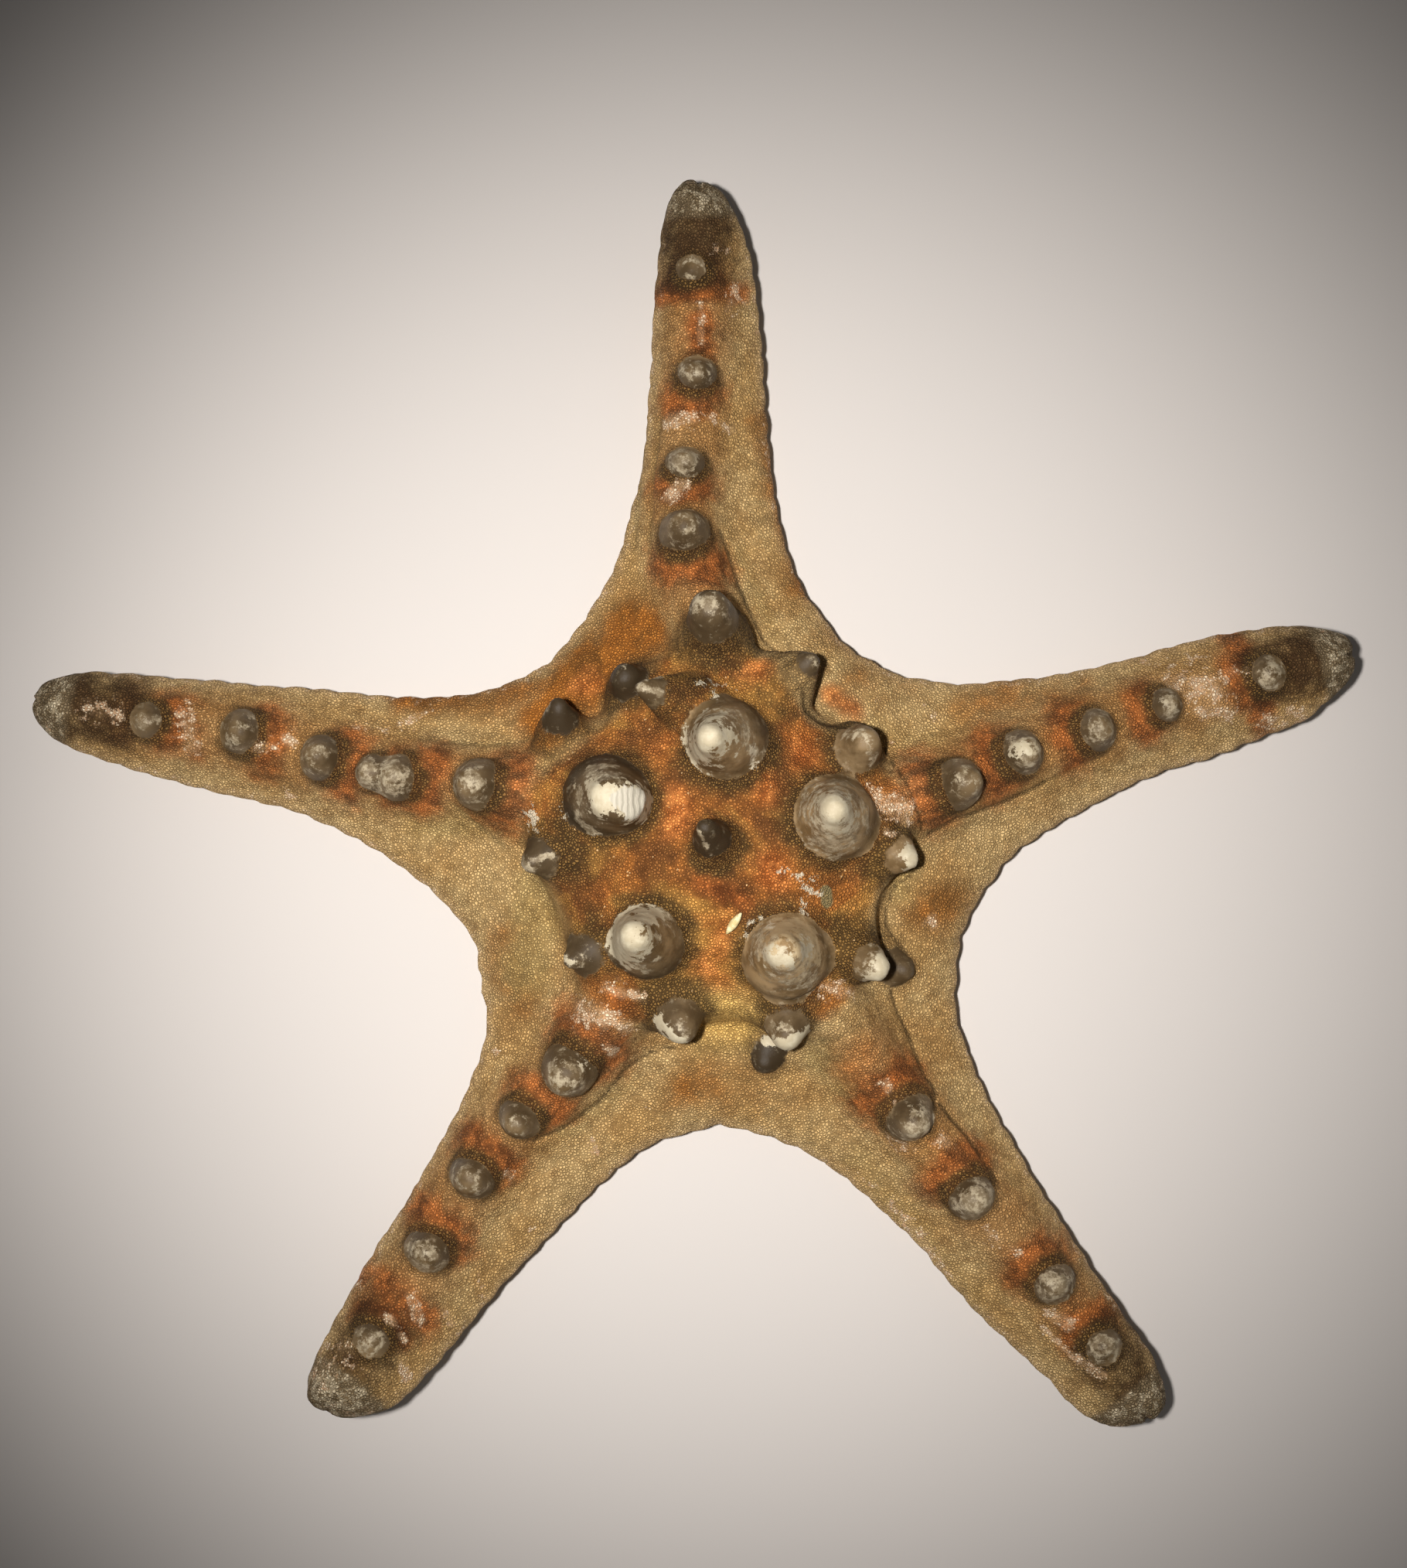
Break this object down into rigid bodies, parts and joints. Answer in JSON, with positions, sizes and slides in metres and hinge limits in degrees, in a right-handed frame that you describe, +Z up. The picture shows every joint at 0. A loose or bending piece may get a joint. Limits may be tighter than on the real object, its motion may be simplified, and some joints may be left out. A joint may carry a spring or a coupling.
{
  "type": "dried starfish",
  "caption": "Dried knobbed sea star with curled arms, horny knobs along each arm's ridge, and feeding grooves underneath.",
  "frame": {"origin": "middle of the bounding box seen from above, at the height of the surface it rests on", "axes": "+Z up out of the knobbed side, +X across the widest spread of the arms, +Y along the single arm that points away"},
  "size_m": [0.1852, 0.1742, 0.0335],
  "materials": {
    "dried_skin": "dry granular skin"
  },
  "bodies": {
    "root": {"starfish": "dried_skin"}
  },
  "joints": []
}
